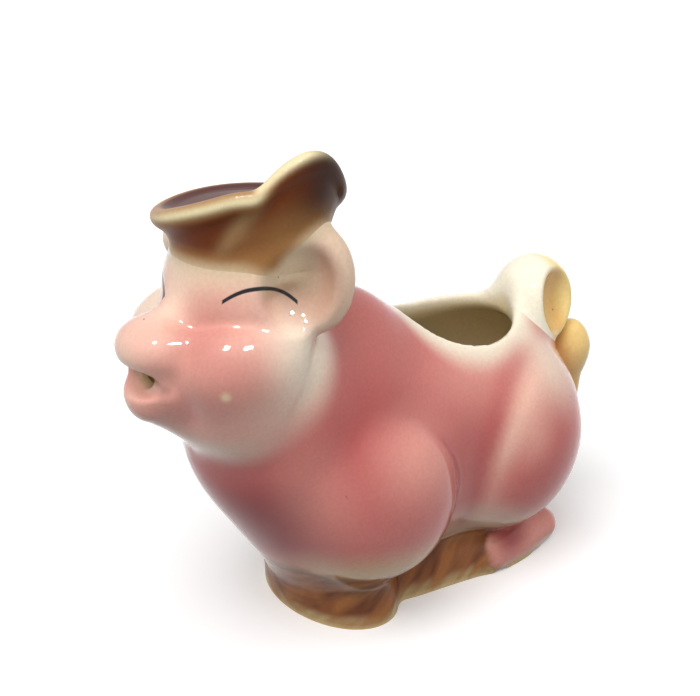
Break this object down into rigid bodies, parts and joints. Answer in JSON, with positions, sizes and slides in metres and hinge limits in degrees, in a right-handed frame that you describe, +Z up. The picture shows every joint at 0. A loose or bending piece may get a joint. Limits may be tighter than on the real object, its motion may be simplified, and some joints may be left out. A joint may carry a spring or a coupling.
{
  "type": "pig creamer",
  "caption": "Hollow glazed pottery creamer shaped as a standing pig in a floppy beret: filled through an oval opening in its back, poured through its open mouth, with a curled tail as handle.",
  "frame": {"origin": "middle of the part's length and width, on the table plane under the base", "axes": "+X forward to the snout, +Y to the pig's left, +Z up"},
  "size_m": [0.1504, 0.0734, 0.1358],
  "materials": {
    "body_glaze": "glossy clear glaze over airbrushed colour",
    "head_glaze": "glossy clear glaze over airbrushed colour",
    "beret_glaze": "glossy clear glaze over airbrushed colour",
    "ear_glaze": "glossy clear glaze over airbrushed colour",
    "leg_glaze": "glossy clear glaze over airbrushed colour",
    "haunch_glaze": "glossy clear glaze over airbrushed colour",
    "foot_glaze": "glossy clear glaze over airbrushed colour",
    "base_glaze": "glossy clear glaze over airbrushed colour",
    "tail_glaze": "glossy clear glaze over airbrushed colour"
  },
  "bodies": {
    "root": {"body_shell": "body_glaze", "head_shell": "head_glaze", "beret": "beret_glaze", "left_ear": "ear_glaze", "right_ear": "ear_glaze", "left_foreleg": "leg_glaze", "right_foreleg": "leg_glaze", "left_haunch": "haunch_glaze", "right_haunch": "haunch_glaze", "left_hind_foot": "foot_glaze", "right_hind_foot": "foot_glaze", "grass_base": "base_glaze", "tail_curl": "tail_glaze", "tail_tip": "tail_glaze"}
  },
  "joints": []
}
